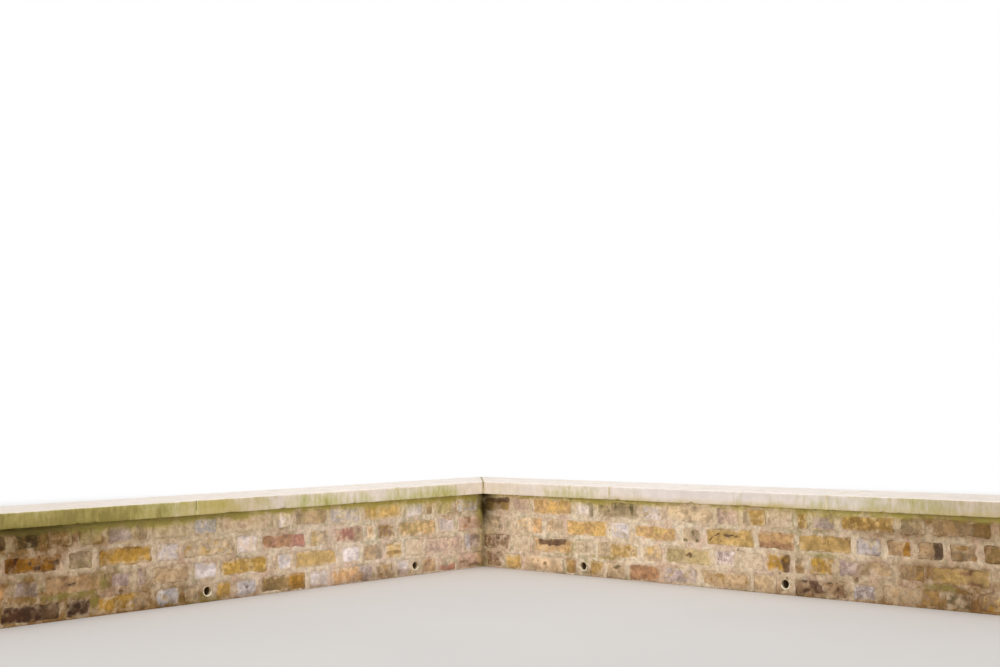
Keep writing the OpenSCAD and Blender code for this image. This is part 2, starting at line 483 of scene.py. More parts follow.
def ruled(start, end, step, soft=0.0, soft_start=True, soft_end=True):
    """Lines from start to end about a step apart, with closer ones over rounded ends."""
    edges = [0.0, 0.35 * soft, soft]
    head = [start + e for e in edges] if soft and soft_start else [start]
    tail = [end - e for e in reversed(edges)] if soft and soft_end else [end]
    count = max(1, round((tail[0] - head[-1]) / step))
    middle = np.linspace(head[-1], tail[0], count + 1)[1:-1]
    return np.concatenate([head, middle, tail])


def rim(grid):
    """The outline of a grid of point numbers, first along its first axis."""
    return np.concatenate([grid[:-1, 0], grid[-1, :-1], grid[:0:-1, -1], grid[0, :0:-1]])


def lattice(lines, flat=(), bores=()):
    """Points, quads and flat faces of a closed box ruled along the lines of its three axes.

    flat names sides that are one face each, as (axis, far). bores are blocks of cells
    (s0, s1, z0, z1) that are left out of the front and rear, with a passage between.
    """
    shape = [len(axis) for axis in lines]
    numbers = np.arange(math.prod(shape)).reshape(shape)
    quads, flats = [], []
    for axis in range(3):
        for far in (0, 1):
            grid = np.take(numbers, -far, axis)
            outward = (far == 1) != (axis == 1)
            if (axis, far) in flat:
                flats.append(rim(grid)[:: 1 if outward else -1])
                continue
            cells = np.stack([grid[:-1, :-1], grid[1:, :-1], grid[1:, 1:], grid[:-1, 1:]], -1)
            kept = np.ones(cells.shape[:2], bool)
            if axis == 1:
                for s0, s1, z0, z1 in bores:
                    kept[s0:s1, z0:z1] = False
            quads.append(cells[kept][:, :: 1 if outward else -1])
    for s0, s1, z0, z1 in bores:
        mouth = rim(numbers[s0 : s1 + 1, 0, z0 : z1 + 1])
        outlet = rim(numbers[s0 : s1 + 1, -1, z0 : z1 + 1])
        quads.append(np.stack([mouth, np.roll(mouth, -1), np.roll(outlet, -1), outlet], -1))
    quads = np.concatenate(quads)
    used = np.unique(np.concatenate([quads.ravel(), *flats]))
    places = np.unravel_index(used, shape)
    points = np.stack([line[place] for line, place in zip(lines, places)], -1)
    return points, np.searchsorted(used, quads), [np.searchsorted(used, f) for f in flats]


def sweep(rings, closed=False):
    """Points, quads and end faces of the skin over rings of points; closed joins last to first."""
    count, size = rings.shape[:2]
    numbers = np.arange(count * size).reshape(count, size)
    ahead = np.roll(numbers, -1, axis=0) if closed else numbers[1:]
    here = numbers if closed else numbers[:-1]
    quads = np.stack([here, ahead, np.roll(ahead, -1, 1), np.roll(here, -1, 1)], -1)
    flats = [] if closed else [numbers[0], numbers[-1][::-1]]
    return rings.reshape(-1, 3), quads.reshape(-1, 4), flats


def piece(name, side, parts, material, slot, *replaced):
    """Joins parts into one object on a wing. A part is points, quads, flat faces and marks.

    Marks are what the material reads at each point: numbers by name, or colours.
    """
    starts = np.cumsum([0] + [len(part[0]) for part in parts[:-1]])
    points = np.concatenate([part[0] for part in parts])
    quads = np.concatenate([part[1] + at for part, at in zip(parts, starts)])
    flats = [face + at for part, at in zip(parts, starts) for face in part[2]]
    if side == "left":
        points = np.stack([-points[:, 1], -points[:, 0], points[:, 2]], -1)
        quads = quads[:, ::-1]
        flats = [face[::-1] for face in flats]
    mesh = bpy.data.meshes.new(name)
    mesh.from_pydata(points.tolist(), [], quads.tolist() + [face.tolist() for face in flats])
    smooth = np.ones(len(mesh.polygons), bool)
    smooth[len(quads) :] = False
    mesh.polygons.foreach_set("use_smooth", smooth)
    for mark in parts[0][3]:
        values = np.concatenate([part[3][mark] for part in parts]).astype(np.float32)
        if values.ndim == 1:
            layer = mesh.attributes.new(mark, "FLOAT", "POINT")
            layer.data.foreach_set("value", values)
        else:
            colours = np.ones((len(values), 4), np.float32)
            colours[:, : values.shape[1]] = values
            layer = mesh.attributes.new(mark, "FLOAT_COLOR", "POINT")
            layer.data.foreach_set("color", colours.ravel())
    mesh.materials.append(material)
    mesh.validate()
    obj = bpy.data.objects.new(name, mesh)
    bpy.context.collection.objects.link(obj)
    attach(obj, "root")
    if replaced:
        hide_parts(*replaced)
    return obj


# Materials


class Finish:
    """A material that is put together node by node."""

    def __init__(self, name, roughness, specular=0.3):
        self.material = bpy.data.materials.new(name)
        self.material.use_nodes = True
        self.nodes = self.material.node_tree.nodes
        self.links = self.material.node_tree.links
        self.shader = self.nodes["Principled BSDF"]
        self.shader.inputs["Roughness"].default_value = roughness
        self.shader.inputs["Specular IOR Level"].default_value = specular
        self.place = self.add("TexCoord").outputs["Object"]

    def add(self, kind, inputs=(), **settings):
        """A node with its settings, and its inputs as (name or number, value or output)."""
        node = self.nodes.new("ShaderNode" + kind)
        for setting, value in settings.items():
            setattr(node, setting, value)
        for key, value in inputs:
            self.feed(node.inputs[key], value)
        return node

    def feed(self, socket, value):
        """Links an output to a socket, or sets the socket to a value."""
        if isinstance(value, bpy.types.NodeSocket):
            self.links.new(value, socket)
        elif socket.type == "RGBA":
            socket.default_value = (*value[:3], 1.0)
        else:
            socket.default_value = value

    def mark(self, name, channel=None):
        """What a point is marked with, or one channel of it."""
        node = self.add("Attribute", attribute_name=name)
        if channel is None:
            return node.outputs["Fac"]
        if channel == "colour":
            return node.outputs["Color"]
        parts = self.add("SeparateColor", [("Color", node.outputs["Color"])])
        return parts.outputs[channel]

    def sum(self, first, second, operation="ADD"):
        """Two numbers added, or put through another operation."""
        inputs = [(0, first), (1, second)]
        return self.add("Math", inputs, operation=operation).outputs[0]

    def product(self, first, second):
        """Two numbers multiplied."""
        return self.sum(first, second, "MULTIPLY")

    def ramp(self, value, start, end, low=0.0, high=1.0):
        """A number that goes smoothly from low to high as value goes from start to end."""
        inputs = [("Value", value), ("From Min", start), ("From Max", end),
                  ("To Min", low), ("To Max", high)]
        node = self.add("MapRange", inputs, interpolation_type="SMOOTHSTEP")
        return node.outputs["Result"]

    def mix(self, share, under, over, blend="MIX"):
        """over laid on under by a share."""
        node = self.add("Mix", [(0, share), (6, under), (7, over)], data_type="RGBA")
        node.blend_type = blend
        return node.outputs[2]

    def shaded(self, colour, value, start, end, low, high):
        """A colour made darker or lighter, from low to high as value goes from start to end."""
        share = self.ramp(value, start, end, low, high)
        grey = self.add("CombineColor", [(0, share), (1, share), (2, share)]).outputs[0]
        return self.mix(1.0, colour, grey, "MULTIPLY")

    def noise(self, size, detail=3.0, roughness=0.55, place=None, stretch=None):
        """Noise in lumps about size across."""
        place = self.place if place is None else place
        if stretch:
            inputs = [(0, place), (1, stretch)]
            place = self.add("VectorMath", inputs, operation="MULTIPLY").outputs[0]
        inputs = [("Vector", place), ("Scale", 0.5 / size), ("Detail", detail),
                  ("Roughness", roughness)]
        return self.add("TexNoise", inputs).outputs["Fac"]

    def spots(self, size, radius, share, place=None):
        """Scattered round spots: 1 inside one, 0 outside. share is how many cells have one."""
        place = self.place if place is None else place
        node = self.add("TexVoronoi", [("Vector", place), ("Scale", 1 / size)])
        inside = self.ramp(node.outputs["Distance"], radius / size, 0.5 * radius / size)
        chosen = self.add("SeparateColor", [("Color", node.outputs["Color"])]).outputs[0]
        return self.product(inside, self.ramp(chosen, 1 - share, 1 - share + 0.02))

    def bump(self, height, distance, strength=1.0):
        """Raises the surface by a height from 0 to 1, on top of what is raised already."""
        inputs = [("Height", height), ("Distance", distance), ("Strength", strength)]
        node = self.add("Bump", inputs)
        if self.shader.inputs["Normal"].is_linked:
            self.links.new(self.shader.inputs["Normal"].links[0].from_socket, node.inputs["Normal"])
        self.links.new(node.outputs["Normal"], self.shader.inputs["Normal"])

    def finished(self, colour):
        """The material, with its colour fed in."""
        self.feed(self.shader.inputs["Base Color"], colour)
        return self.material


def weathered(finish, colour, mortar):
    """A colour after lime bloom, dirt and growth, darkened by the painted shade in the inside
    corner and the painted shadow under the coping that the marks carry.
    """
    patchy = finish.noise(0.024, 4, 0.6)
    lime = finish.product(finish.mark("bloom"), finish.ramp(patchy, 0.4, 0.6, 1.3, 0.7))
    colour = finish.mix(lime, colour, mortar.bloom)
    # Dirt, with painted shade in the inside corner
    soil_and_shade = finish.product(finish.mark("weather", 1), finish.ramp(patchy, 0.4, 0.62, 0.75, 1.2))
    colour = finish.mix(soil_and_shade, colour, mortar.soil_and_shade, "MULTIPLY")
    growth = finish.product(finish.mark("weather", 0), finish.ramp(patchy, 0.38, 0.6, 0.6, 1.15))
    colour = finish.mix(growth, colour, mortar.tinge, "MULTIPLY")
    colour = finish.mix(finish.ramp(growth, 0.15, 1.1, 0.0, 0.85), colour, mortar.algae)
    # Wet growth, with the painted shadow right under the coping
    damp_and_shadow = finish.product(finish.mark("weather", 2), finish.ramp(patchy, 0.3, 0.55, 0.85, 1.08))
    return finish.mix(damp_and_shadow, colour, mortar.damp_and_shadow)


def brick_finish(clay, mortar):
    """Hand-made stock brick: blotched, gritty and pitted, with mortar smeared over it and painted
    shade in its pits and along its edges.
    """
    finish = Finish("stock_brick", 0.92, 0.2)
    place = finish.mark("place", "colour")
    broad = finish.noise(0.040, 3, 0.55, place)
    blotches = finish.noise(0.018, 4, 0.65, place)
    fine = finish.noise(0.009, 4, 0.65, place)
    # A second colour lies where it was put, and in blotches
    put = finish.sum(finish.mark("facts", 0), finish.product(blotches, 2.6))
    blotched = finish.ramp(blotches, 0.50, 0.62, 0.0, 0.5)
    second = finish.sum(finish.ramp(put, 1.45, 2.25, 0.0, 0.92), blotched, "MAXIMUM")
    colour = finish.mix(second, finish.mark("tint", "colour"), finish.mark("patch", "colour"))
    colour = finish.shaded(colour, fine, 0.36, 0.64, 0.74, 1.20)
    colour = finish.shaded(colour, broad, 0.36, 0.64, 0.80, 1.18)
    # Mortar smeared thin over the face, most of it along the edges
    film = finish.sum(finish.mark("facts", 1), finish.product(blotches, 1.4))
    film = finish.ramp(finish.sum(film, finish.product(broad, 0.8)), 1.1, 1.7, 0.0, 0.85)
    film = finish.product(film, finish.ramp(finish.mark("facts", 0), 0.2, 0.8, 1.0, 0.25))
    hazed = finish.mix(finish.ramp(fine, 0.42, 0.58), mortar.sandy, mortar.pale)
    colour = finish.mix(film, colour, hazed)
    # Iron spots, and painted shade in the open pits and along the rubbed edges
    iron = finish.spots(0.016, 0.0034, 0.35, place)
    colour = finish.mix(finish.product(iron, 0.6), colour, clay.iron)
    pits = finish.product(finish.mark("facts", 2), finish.ramp(fine, 0.42, 0.56, 0.2, 1.0))
    colour = finish.mix(finish.product(pits, 0.55), colour, clay.pit_shade)
    colour = weathered(finish, colour, mortar)
    finish.bump(finish.noise(0.005, 4, 0.65, place), 0.0012)
    finish.bump(pits, -0.0010)
    return finish.finished(colour)


def mortar_finish(mortar):
    """Pale gritty mortar, patched and rubbed, with painted shade in the hollows where sand has
    washed out and along its edges on the bricks.
    """
    finish = Finish("sandy_mortar", 0.95, 0.15)
    fine = finish.noise(0.009, 4, 0.65)
    sandy = finish.ramp(finish.noise(0.04, 3, 0.6), 0.4, 0.6)
    colour = finish.mix(sandy, mortar.pale, mortar.sandy)
    rosy = finish.ramp(finish.noise(0.06, 3, 0.6), 0.48, 0.60, 0.0, 0.6)
    colour = finish.mix(rosy, colour, mortar.rosy)
    creamy = finish.ramp(finish.noise(0.020, 4, 0.65), 0.50, 0.62, 0.0, 0.6)
    colour = finish.mix(creamy, colour, mortar.creamy)
    colour = finish.shaded(colour, fine, 0.36, 0.60, 0.75, 1.10)
    grit = finish.spots(0.012, 0.0026, 0.35)
    colour = finish.mix(finish.product(grit, 0.5), colour, mortar.grit)
    # Painted shade along the lines where the mortar ends on a brick
    seams = finish.product(finish.mark("seams"), finish.ramp(fine, 0.40, 0.54, 0.1, 1.0))
    colour = finish.mix(finish.product(seams, 0.5), colour, mortar.seam)
    # Painted shade in the hollows where sand has washed out
    holes = finish.ramp(finish.mark("holes"), 0.1, 0.9)
    colour = finish.mix(finish.product(holes, 0.65), colour, mortar.hole)
    # Moss takes hold here and there
    moss = finish.ramp(finish.noise(0.10, 3, 0.5), 0.50, 0.62)
    moss = finish.product(moss, finish.ramp(finish.noise(0.014, 4, 0.65), 0.44, 0.58))
    colour = finish.mix(finish.product(moss, 0.55), colour, mortar.moss)
    colour = weathered(finish, colour, mortar)
    finish.bump(finish.noise(0.005, 5, 0.7), 0.0015)
    finish.bump(seams, -0.0008)
    return finish.finished(colour)


def coping_finish(coping):
    """Cream stone, weathered pale, with growth that has run down its face in streaks and painted
    light on its top.
    """
    finish = Finish("coping_stone", 0.82, 0.25)
    broad = finish.ramp(finish.noise(0.11, 5, 0.6), 0.4, 0.62, -0.3, 0.3)
    pale = finish.sum(finish.mark("pale"), broad)
    colour = finish.mix(pale, coping.stone, coping.bleached)
    # Painted light: the top face is made paler, as if the sky lit it more
    colour = finish.mix(finish.product(finish.mark("growth", 2), 0.85), colour, coping.washed)
    colour = finish.shaded(colour, finish.noise(0.02, 5, 0.7), 0.34, 0.66, 0.93, 1.04)
    streaks = finish.noise(0.008, 4, 0.6, stretch=(1.0, 1.0, 0.3))
    clouds = finish.noise(0.05, 4, 0.6)
    amount = finish.mark("growth", 0)
    cover = finish.sum(amount, finish.sum(streaks, finish.product(clouds, 1.2)))
    light = finish.mix(finish.ramp(amount, 0.55, 0.85), coping.green, coping.yellow)
    colour = finish.mix(finish.ramp(cover, 1.15, 1.9, 0.0, 0.85), colour, light)
    colour = finish.mix(finish.ramp(cover, 1.65, 2.2, 0.0, 0.62), colour, coping.moss)
    colour = finish.mix(finish.mark("dirt"), colour, coping.dirt, "MULTIPLY")
    lower = finish.product(finish.mark("growth", 1), finish.ramp(clouds, 0.35, 0.6, 0.5, 1.1))
    stain = finish.mix(finish.ramp(amount, 0.55, 0.9), coping.stain, coping.moss)
    colour = finish.mix(lower, colour, stain)
    specks = finish.spots(0.014, 0.0018, 0.2)
    colour = finish.mix(finish.product(specks, 0.4), colour, coping.speck)
    finish.bump(finish.noise(0.003, 6, 0.7), 0.0005)
    finish.bump(specks, -0.0005)
    return finish.finished(colour)


def pipe_finish(pipe):
    """Old cream plastic, scuffed, smeared with mortar on top, with painted shade just inside the
    mouth and grime with painted shade further in.
    """
    finish = Finish("weep_pipe_plastic", 0.5, 0.4)
    scuffs = finish.ramp(finish.noise(0.006, 5, 0.7), 0.36, 0.7, 0.0, 0.5)
    colour = finish.mix(scuffs, pipe.plastic, pipe.scuffed)
    rough = finish.product(finish.noise(0.008, 4, 0.7), 0.4)
    smeared = finish.ramp(finish.sum(finish.mark("smeared"), rough), 0.35, 0.8, 0.0, 0.85)
    colour = finish.mix(smeared, colour, pipe.smeared)
    # Painted shade just inside the mouth, and darker still further in
    inner = finish.ramp(finish.mark("depth"), 0.0, 0.12, 0.0, 0.6)
    colour = finish.mix(inner, colour, pipe.shaded)
    depth = finish.sum(finish.mark("depth"), rough)
    colour = finish.mix(finish.ramp(depth, 0.4, 0.85), colour, pipe.grime_and_shade)
    finish.bump(finish.noise(0.003, 4, 0.6), 0.0003)
    return finish.finished(colour)


def joint_finish(coping):
    """Mortar in the joints of the coping: pale where it is sound, dark where it has sunk."""
    finish = Finish("coping_joint_mortar", 0.95, 0.15)
    rough = finish.noise(0.010, 4, 0.65)
    sound = finish.mix(finish.ramp(rough, 0.4, 0.6), coping.joint, coping.sandy)
    dark = finish.sum(finish.mark("sunk"), finish.product(rough, 0.5))
    growth = finish.ramp(finish.mark("growth"), 0.3, 0.7, 0.2, 0.95)
    sound = finish.mix(growth, sound, coping.green)
    colour = finish.mix(finish.ramp(dark, 0.5, 1.1), sound, coping.sunk)
    finish.bump(finish.noise(0.004, 5, 0.7), 0.0012)
    return finish.finished(colour)


# Where the bricks lie


def runs_through(side, course):
    """Whether a wing's course runs on to the outer corner, and the other wing's butts."""
    return (side == "right") == (course % 2 == 0)


def front_row(side, course):
    """(start, end, letter) of each brick along the front, without the corner's hidden ones."""
    lots = random.Random(f"edges {side} {course}")
    weeps = WEEPS[side] if course == 1 else []
    first = HALF_T + (0.0 if runs_through(side, course) else UPRIGHT)
    starts = [first] + [weep + SURROUND / 2 for weep in weeps]
    stops = [weep - SURROUND / 2 for weep in weeps] + [WING_END[side]]
    row = []
    for letters, start, stop in zip(ROWS[side, course].split(), starts, stops):
        for number, letter in enumerate(letters):
            end = start + BRICK_L[letter]
            moved = lots.uniform(-ASTRAY, ASTRAY)
            last = number == len(letters) - 1
            row.append([start, stop if last else end + moved, letter])
            start = end + UPRIGHT + moved
    return row


def corner_spans(side, course):
    """What shows at the rear between the outer corner and the first brick of the row."""
    inner = HALF_T - BRICK_DEEP
    if runs_through(side, course):
        return [(-HALF_T, 2 * BRICK_DEEP - HALF_T)]
    return [(-HALF_T, -inner), (inner, HALF_T)]


def rear_row(side, course):
    """(start, end) of each brick's face along the rear, from the outer corner on."""
    spans = [(start, end) for start, end, _ in front_row(side, course)]
    if runs_through(side, course):
        spans[0] = (2 * BRICK_DEEP - HALF_T + UPRIGHT, spans[0][1])
    return corner_spans(side, course) + spans


def brick_places(side, course):
    """(number, box, sides in sight) of each brick of a course, a box as spans of s, a and z."""
    bottom = (course - 1) * GAUGE
    height = (bottom, bottom + BRICK_H)
    front, rear = (-HALF_T, BRICK_DEEP - HALF_T), (HALF_T - BRICK_DEEP, HALF_T)
    through = runs_through(side, course)
    places = []
    if through:
        tucked = (-HALF_T, HALF_T - TUCKED - UPRIGHT)
        outer = corner_spans(side, course)[0]
        places.append((QUOIN, (outer, rear, height), {"rear", "start"}))
        places.append((QUOIN + 1, (tucked, front, height), {"start"}))
    row = front_row(side, course)
    for number, (start, end, letter) in enumerate(row):
        ends = {"end"} if number == len(row) - 1 else set()
        behind = start
        if through and number == 0:
            start -= TUCKED
            behind += UPRIGHT / 4
        if letter in LENGTHWISE:
            places.append((number, ((start, end), front, height), {"front"} | ends))
            places.append((number + BEHIND, ((behind, end), rear, height), {"rear"} | ends))
        else:
            box = ((start, end), (-HALF_T, HALF_T), height)
            places.append((number, box, {"front", "rear"} | ends))
    return places


def end_row(side, course):
    """(start, end) across the wall of each brick's face at the far end of a wing."""
    inner = HALF_T - BRICK_DEEP
    if front_row(side, course)[-1][2] in LENGTHWISE:
        return [(-HALF_T, -inner), (inner, HALF_T)]
    return [(-HALF_T, HALF_T)]


class Places:
    """Points on the walling of a wing, and what their weathering and painted shade depend on."""

    def __init__(self, side, points):
        s, a, self.z = points.T
        self.side, self.left = side, side == "left"
        self.points = points
        # Distance from the inside corner, and whether a point faces it
        self.t = s - HALF_T
        self.front = (a < 0) & (self.t > -0.02)
        self.drift = lumps(np.stack([s, np.sign(a), 0 * self.z], -1), 0.13, 3)
        self.fine = lumps(points, 0.035, 4)
        self.below = WALL_TOP - self.z + 0.006 * self.fine
        self.high = rise(self.z, 0.13, 0.245)


def under_coping(at):
    """Growth, and wet growth with painted shadow of the coping, that hang down from the coping in
    drips.
    """
    amount = level(WALL_GROWTH[at.side], at.t)
    reach = 0.022 + 0.014 * amount + 0.012 * at.drift
    reach += 0.02 * rise(lumps(at.points * (1, 1, 0.2), 0.03, 6), 0.3, 0.9)
    band = rise(at.below, 0.020 + 0.004 * at.drift, 0.004) * GREEN_BAND[at.side]
    growth = np.maximum(rise(at.below, reach, 0.006) * amount, band)
    faint = 0.34 + 0.3 * rise(at.t, 0.35, 0.05) if at.left else 0.22
    growth += rise(at.below, 0.10, 0.0) * (faint + 0.14 * at.drift)
    heavy = np.maximum(amount - 0.75, 0)
    # Right under the coping the dark wet band is also painted shadow of its overhang
    damp_and_shadow = rise(at.below, 0.018, 0.001) * (0.6 * heavy + 0.05 * at.drift)
    if at.left:
        # Far from the corner the left wing is wet, with a dark line where its drips end
        damp_and_shadow += rise(at.below, 0.065, 0.0) * rise(at.t, 1.5, 2.1) * (0.26 + 0.1 * at.fine)
        drips = 0.24 * rise(at.t, 1.15, 1.3) + 0.22 * rise(at.t, 1.8, 2.0)
        damp_and_shadow += rise(at.below, 0.034, 0.020) * (1 - 0.6 * rise(at.below, 0.012, 0.0)) * drips
    return growth, damp_and_shadow


def with_moss(at, growth, damp_and_shadow, hold):
    """Growth and damp with the patches of moss. hold is how well it clings to the surface."""
    ragged = lumps(at.points, 0.014, 8)
    for place, height, length, tall, thick in MOSS[at.side]:
        apart = np.hypot((at.t - place) / length, (at.z - height) / tall) + 0.35 * at.fine
        held = np.where(at.front, rise(apart + 0.5 * ragged, 1.3, 0.4), 0) * thick * hold
        growth = np.maximum(growth, 0.75 * held)
        damp_and_shadow = np.maximum(damp_and_shadow, 0.42 * held)
    return growth, damp_and_shadow


def with_corner_runs(at, growth, damp_and_shadow):
    """Growth and damp with the water's runs down the inside corner, widest near the top."""
    if at.left:
        width, strength = 0.022 + 0.030 * rise(at.z, 0.21, 0.28), 0.36 + 0.60 * at.high
        green = 0.35 + 0.45 * at.high
    else:
        width, strength = 0.026 + 0.073 * at.high, 0.45 + 0.55 * at.high
        green = 0.25
    runs = np.where(at.front, rise(at.t + 0.008 * at.fine, 0.07, 0.005), 0)
    core = np.where(at.front, rise(at.t + 0.004 * at.fine, width, 0.0), 0)
    return np.maximum(growth, runs * green), np.maximum(damp_and_shadow, core * strength)


def dirt_at_foot(at, grip, mortar):
    """Dirt that rain has splashed up from the ground, higher on the mortar far out."""
    top, share = FOOT[at.side]
    if mortar and at.left:
        top = top + 0.062 * rise(at.t, 1.15, 1.6)
        share = share + (0.50 * rise(at.t, 1.0, 1.5) - 0.12)
    elif mortar:
        further = rise(at.t, 1.75, 1.95)
        top = top + 0.050 * further
        share = share + (0.24 * rise(at.t, 1.0, 1.5) + 0.25 * further - 0.12)
    foot = rise(at.z + 0.008 * at.fine, top, 0.0) * (share + 0.25 * at.drift)
    foot *= 0.75 + 0.4 * grip
    return foot if at.left else foot * (1 - 0.6 * rise(at.t, 0.16, 0.06))


def dirt_far_out(at, grip, mortar):
    """Dirt that has settled far from the corner, where the surface holds it."""
    far = level(WALL_SOIL[at.side], at.t) * grip * (1 + 0.25 * at.fine)
    if mortar:
        # The joints round the third course have stayed cleaner
        cleaner = 0.35 if at.left else 0.45
        far *= 1 - cleaner * rise(at.z, 0.13, 0.16) * rise(at.z, 0.24, 0.20)
    if at.left:
        return far + 0.26 * rise(at.t, 1.75, 2.05) * at.high
    far *= 1 - 0.65 * rise(at.z, 0.22, 0.27) * rise(at.t, 2.0, 1.8)
    return far + 0.05 * rise(at.t, 1.5, 2.0) * at.high


def weather(side, points, grip, mortar=False):
    """How much growth, dirt with painted shade, and wet growth with painted shadow there is on the
    walling at each point, as three channels.

    grip is how well the surface holds the dirt that lies far from the corner.
    """
    at = Places(side, points)
    growth, damp_and_shadow = under_coping(at)
    growth, damp_and_shadow = with_moss(at, growth, damp_and_shadow, 1.0 if mortar else 0.35)
    growth, damp_and_shadow = with_corner_runs(at, growth, damp_and_shadow)
    # Painted shade in the inside corner, put in with the dirt
    corner = np.where(at.front, rise(at.t + 0.02 * at.fine, 0.14, 0.01), 0)
    corner *= 0.22 if mortar else 0.34
    soil_and_shade = 1 - (
        (1 - dirt_at_foot(at, grip, mortar)) * (1 - corner) * (1 - dirt_far_out(at, grip, mortar))
    )
    soil_and_shade *= 1 - 0.5 * rise(at.t, 2.08, 2.3)
    return np.clip(np.stack([growth, soil_and_shade, damp_and_shadow], -1), 0, 1)


def bloom(side, points):
    """How much lime bloom there is on the walling at each point."""
    cloud = lumps(points, 0.16, 5)
    return np.clip(level(WALL_BLOOM[side], points[:, 0] - HALF_T) * (1 + 0.5 * cloud), 0, 1)


# Bricks


def brick_looks(side, course, number):
    """Colour, second colour, where that is and how far mortar hazes a brick over."""
    lots = random.Random(f"looks {side} {course} {number}")
    known = FRONT_COLOURS[side, course].get(number)
    if known:
        tint, second, where = (known.split() + ["", ""])[:3]
        return tint, second or SECOND[tint], where, lots.uniform(-0.12, 0.10)
    weights = COMMON if number < BEHIND else REAR
    tint = lots.choices(list(weights), weights.values())[0]
    least, most = (0.25, 0.60) if number < BEHIND else (0.05, 0.45)
    return tint, SECOND[tint], "", lots.uniform(least, most)


def placed_patch(where, x, y, length, flecks):
    """The share of the second colour at x along a brick and y up it, both in metres."""
    if where == "near":
        return rise(x, 0.42 * length, 0.26 * length)
    if where == "far":
        return rise(x, 0.60 * length, 0.74 * length)
    if where == "top":
        return rise(y, 0.032, 0.044)
    if where == "low":
        return rise(y, 0.036, 0.024)
    if where == "broken":
        return rise(y, 0.029, 0.036) * rise(abs(x - 0.48 * length), 0.38 * length, 0.32 * length)
    if where == "spot":
        return rise(np.hypot(x - 0.52 * length, 1.4 * (y - 0.036)), 0.018, 0.004)
    if where == "cracked":
        turn = x - 0.30 * length
        ridge = y - 0.047 + np.where(turn < 0, -0.7, 0.15) * turn
        wide = 0.0035 + 0.006 * flecks
        return rise(abs(ridge), wide, 0.001) * rise(x, 0.78 * length, 0.62 * length)
    if where == "flecked":
        return flecks
    return np.zeros(len(x))


def brick(settings, side, course, number, box, shown):
    """One brick as points, quads, flat faces and marks. shown names the sides in sight."""
    seed = 1000 * SIDES.index(side) + 100 * course + number
    lots = random.Random(f"brick {seed}")
    tint, second, where, haze = brick_looks(side, course, number)
    low, high = np.array(box).T
    fine = "front" in shown or "end" in shown
    step = settings.step if fine else settings.rear_step
    across = step if {"end", "start"} & shown else 1.0
    soft = settings.arris * lots.uniform(0.7, 1.2)
    lines = (
        ruled(low[0], high[0], step, soft),
        ruled(low[1], high[1], across, soft, "front" in shown, "rear" in shown),
        ruled(low[2], high[2], step, soft),
    )
    flat = [(1, far) for far, name in enumerate(("front", "rear")) if name not in shown]
    points, quads, flats = lattice(lines, flat)
    seat = lots.uniform(-0.0006, 0.0016)
    inner = np.clip(points, low + soft, high - soft)
    outward = points - inner
    outward /= np.linalg.norm(outward, axis=1)[:, None]
    middle = (low + high) / 2
    # Distance of each point to the nearest other edge of the face that it lies on
    inside = np.minimum(points - low, high - points)
    face = np.argmax(np.abs(outward), axis=1)
    inside[np.arange(len(points)), face] = 1.0
    edge = inside.min(axis=1)
    own = points + 3.7 * seed
    swell = settings.unevenness * (lumps(own, 0.045, 1) + 0.5 * lumps(own, 0.014, 2))
    chip = settings.chips * rise(lumps(own, 0.02, 5), 0.25, 0.7) * rise(edge, 0.011, 0.0)
    pits = rise(lumps(own, 0.010, 6), 0.62, 0.85) * lots.choice([0, 0.6, 1])
    # Rubbed edges, which carry less mortar haze and are painted dark as shade
    rubbed = rise(edge, 0.009, 0.002) * rise(lumps(own, 0.03, 9), -0.1, 0.5)
    x, y = (points - low)[:, [0, 2]].T
    x, y = x + 0.010 * lumps(own, 0.020, 7), y + 0.007 * lumps(own, 0.016, 8)
    flecks = rise(lumps(own, 0.016, 10), 0.12, 0.5)
    patch = placed_patch(where, x, y, high[0] - low[0], flecks)
    depth = swell - chip - PIT_DEPTH * pits - SUNK.get(where, 0.0) * patch
    points = inner + outward * (soft + depth)[:, None]
    lean = lots.uniform(-0.008, 0.008) * (points[:, 0] - middle[0])
    lean += lots.uniform(-0.02, 0.02) * (points[:, 2] - middle[2])
    points[:, 1] += lean + (seat if middle[1] <= 0.001 else -seat)
    points[:, 0] = np.minimum(points[:, 0], WING_END[side] - SET_IN)
    points[:, 2] = np.maximum(points[:, 2], SET_IN)
    count = len(points)
    worn = rise(edge, 0.016, 0.005)
    grip = 0.60 + 0.2 * rise(points[:, 0] - HALF_T, 1.5, 2.0) * (side == "left")
    grip += (EDGE_GRIP[side] - grip) * worn
    smeared = haze + 0.42 * rise(edge, 0.020, 0.002) - 0.5 * rubbed
    marks = {
        "tint": np.tile(varied(getattr(settings, tint), lots), (count, 1)),
        "patch": np.tile(varied(getattr(settings, second), lots), (count, 1)),
        "facts": np.stack([patch, smeared, np.maximum(pits, 0.8 * rubbed)], axis=-1),
        "place": points + np.array([lots.uniform(0, 9) for _ in range(3)]),
        "weather": weather(side, points, grip),
        "bloom": bloom(side, points) * (0.4 + 0.5 * worn),
    }
    return points, quads, flats, marks


def varied(colour, lots):
    """A colour made a little lighter or darker, and warmer or cooler."""
    light, warm = lots.uniform(0.88, 1.12), lots.uniform(-0.05, 0.05)
    return np.clip(np.array(colour) * light * np.array([1 + warm, 1.0, 1 - warm]), 0, 1)


class WALL_OT_lay_bricks(Operator):
    """Lays the bricks of every course, as one piece for each course of a wing."""

    bl_idname = "garden_wall.lay_bricks"
    bl_label = "Lay the bricks"

    def execute(self, context):
        wall = context.scene.garden_wall
        material = brick_finish(wall.brick, wall.mortar)
        for side in SIDES:
            for course in COURSES:
                laid = [
                    brick(wall.brick, side, course, *place) for place in brick_places(side, course)
                ]
                node = f"{side}_course_{course}"
                piece(f"{side}_bricks_{course}", side, laid, material, "brick", node)
        return {"FINISHED"}


# Mortar


